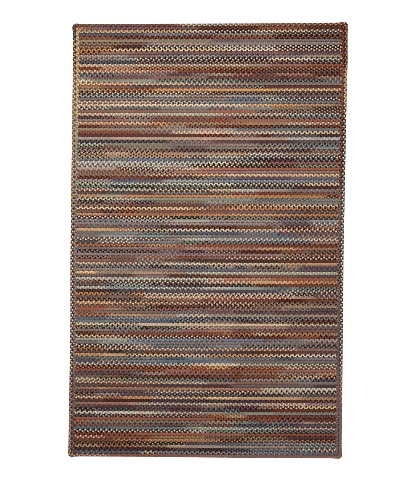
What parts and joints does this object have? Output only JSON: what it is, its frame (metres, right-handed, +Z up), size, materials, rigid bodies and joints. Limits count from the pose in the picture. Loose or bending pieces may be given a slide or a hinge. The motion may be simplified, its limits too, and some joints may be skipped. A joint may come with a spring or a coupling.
{
  "type": "braided rug",
  "caption": "Flat rectangular braided rug: straight braids laced edge to edge across its width, bound all round by two border braids.",
  "frame": {"origin": "on the floor, under the middle of the rug's box", "axes": "+X across the rug, along its straight braids; +Y along the rug's length; +Z up, out of the face that is walked on"},
  "size_m": [1.5698, 2.4436, 0.01],
  "materials": {
    "field_yarn": "matte braided wool and cotton yarn in many muted colours",
    "inner_border_yarn": "matte braided yarn, slate, grey, maroon and sage",
    "outer_border_yarn": "matte braided yarn, rust, gold, cream and dark brown"
  },
  "bodies": {
    "root": {"braided_field": "field_yarn", "inner_border_braid": "inner_border_yarn", "outer_border_braid": "outer_border_yarn"}
  },
  "joints": []
}
